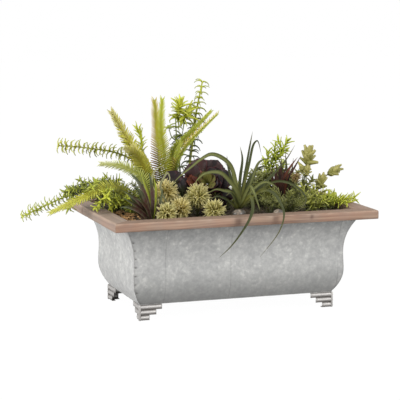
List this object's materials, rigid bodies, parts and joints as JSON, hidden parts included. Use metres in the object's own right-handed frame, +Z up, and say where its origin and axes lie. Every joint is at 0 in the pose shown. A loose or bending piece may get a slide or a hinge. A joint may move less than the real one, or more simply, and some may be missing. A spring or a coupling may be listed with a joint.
{
  "type": "tin planter",
  "caption": "Rectangular galvanised tin planter with ogee walls, a mitred timber rim and stepped bracket feet, filled with an artificial succulent planting.",
  "frame": {"origin": "on the floor, under the middle of the overall box of planter and planting", "axes": "+X along the planter, +Y to its back, +Z up; the feet stand on z = 0"},
  "size_m": [0.7884, 0.4256, 0.5042],
  "materials": {
    "galvanised_tin": "hot-dip galvanised sheet with a soft mottled spangle, satin",
    "weathered_timber": "weathered fir with a pinkish grey-brown wash, open grain and small knots",
    "pressed_foot": "bright pressed metal, half gloss",
    "fastener": "plain bright",
    "foam": "dry green floral foam",
    "moss": "dark brown moss and fibre",
    "pebble": "dark river pebble, half gloss",
    "wood_chip": "raw orange-tan bark chip",
    "needle_foliage": "moulded needle leaves, bright green tips",
    "fern_foliage": "moulded fern, yellow-green with brown-red lower leaflets",
    "agave_leaf": "dark green moulded blades with pale green edges and purple bases",
    "sedum_foliage": "pale yellow-green moulded leaf tips",
    "dark_rosette_leaf": "dark maroon moulded leaves, waxy",
    "air_plant_leaf": "grey-green moulded strap leaves with a dusty bloom",
    "red_blade_leaf": "dark red moulded blades, waxy",
    "pale_rosette_leaf": "pale green moulded rosettes, dusty",
    "lime_foliage": "olive and lime moulded needle leaves"
  },
  "bodies": {
    "root": {"agave": "agave_leaf", "air_plant": "air_plant_leaf", "back_rail": "weathered_timber", "back_wall": "galvanised_tin", "base_plate": "galvanised_tin", "fern_left": "fern_foliage", "fern_middle": "fern_foliage", "fern_right": "fern_foliage", "foam_block": "foam", "foot_back_left": "pressed_foot", "foot_back_right": "pressed_foot", "foot_front_left": "pressed_foot", "foot_front_right": "pressed_foot", "front_rail": "weathered_timber", "front_wall": "galvanised_tin", "grey_blades": "air_plant_leaf", "left_rail": "weathered_timber", "left_wall": "galvanised_tin", "lime_sprigs": "lime_foliage", "lime_tuft": "lime_foliage", "moss_bed": "moss", "needle_stem_tall": "needle_foliage", "needle_stem_tuft": "needle_foliage", "needle_stems_back_left": "needle_foliage", "needle_stems_front_left": "needle_foliage", "needle_stems_left": "needle_foliage", "needle_stems_right": "needle_foliage", "olive_tuft": "lime_foliage", "pale_rosette_stem_back": "pale_rosette_leaf", "pale_rosette_stem_front": "pale_rosette_leaf", "pebble_left": "pebble", "pebble_right": "pebble", "red_blades": "red_blade_leaf", "right_rail": "weathered_timber", "right_wall": "galvanised_tin", "rim_screw_back_left": "fastener", "rim_screw_back_right": "fastener", "rim_screw_front_left": "fastener", "rim_screw_front_right": "fastener", "rim_screw_left_back": "fastener", "rim_screw_left_front": "fastener", "rim_screw_right_back": "fastener", "rim_screw_right_front": "fastener", "rivet_back_left_long": "fastener", "rivet_back_left_short": "fastener", "rivet_back_right_long": "fastener", "rivet_back_right_short": "fastener", "rivet_front_left_long": "fastener", "rivet_front_left_short": "fastener", "rivet_front_right_long": "fastener", "rivet_front_right_short": "fastener", "rosette": "dark_rosette_leaf", "sedum_ball_back_left": "sedum_foliage", "sedum_ball_back_right": "sedum_foliage", "sedum_ball_front_left": "sedum_foliage", "sedum_ball_front_right": "sedum_foliage", "sedum_ball_middle": "sedum_foliage", "sedum_ball_tan": "sedum_foliage", "wood_chip_corner": "wood_chip", "wood_chip_side": "wood_chip"}
  },
  "joints": []
}
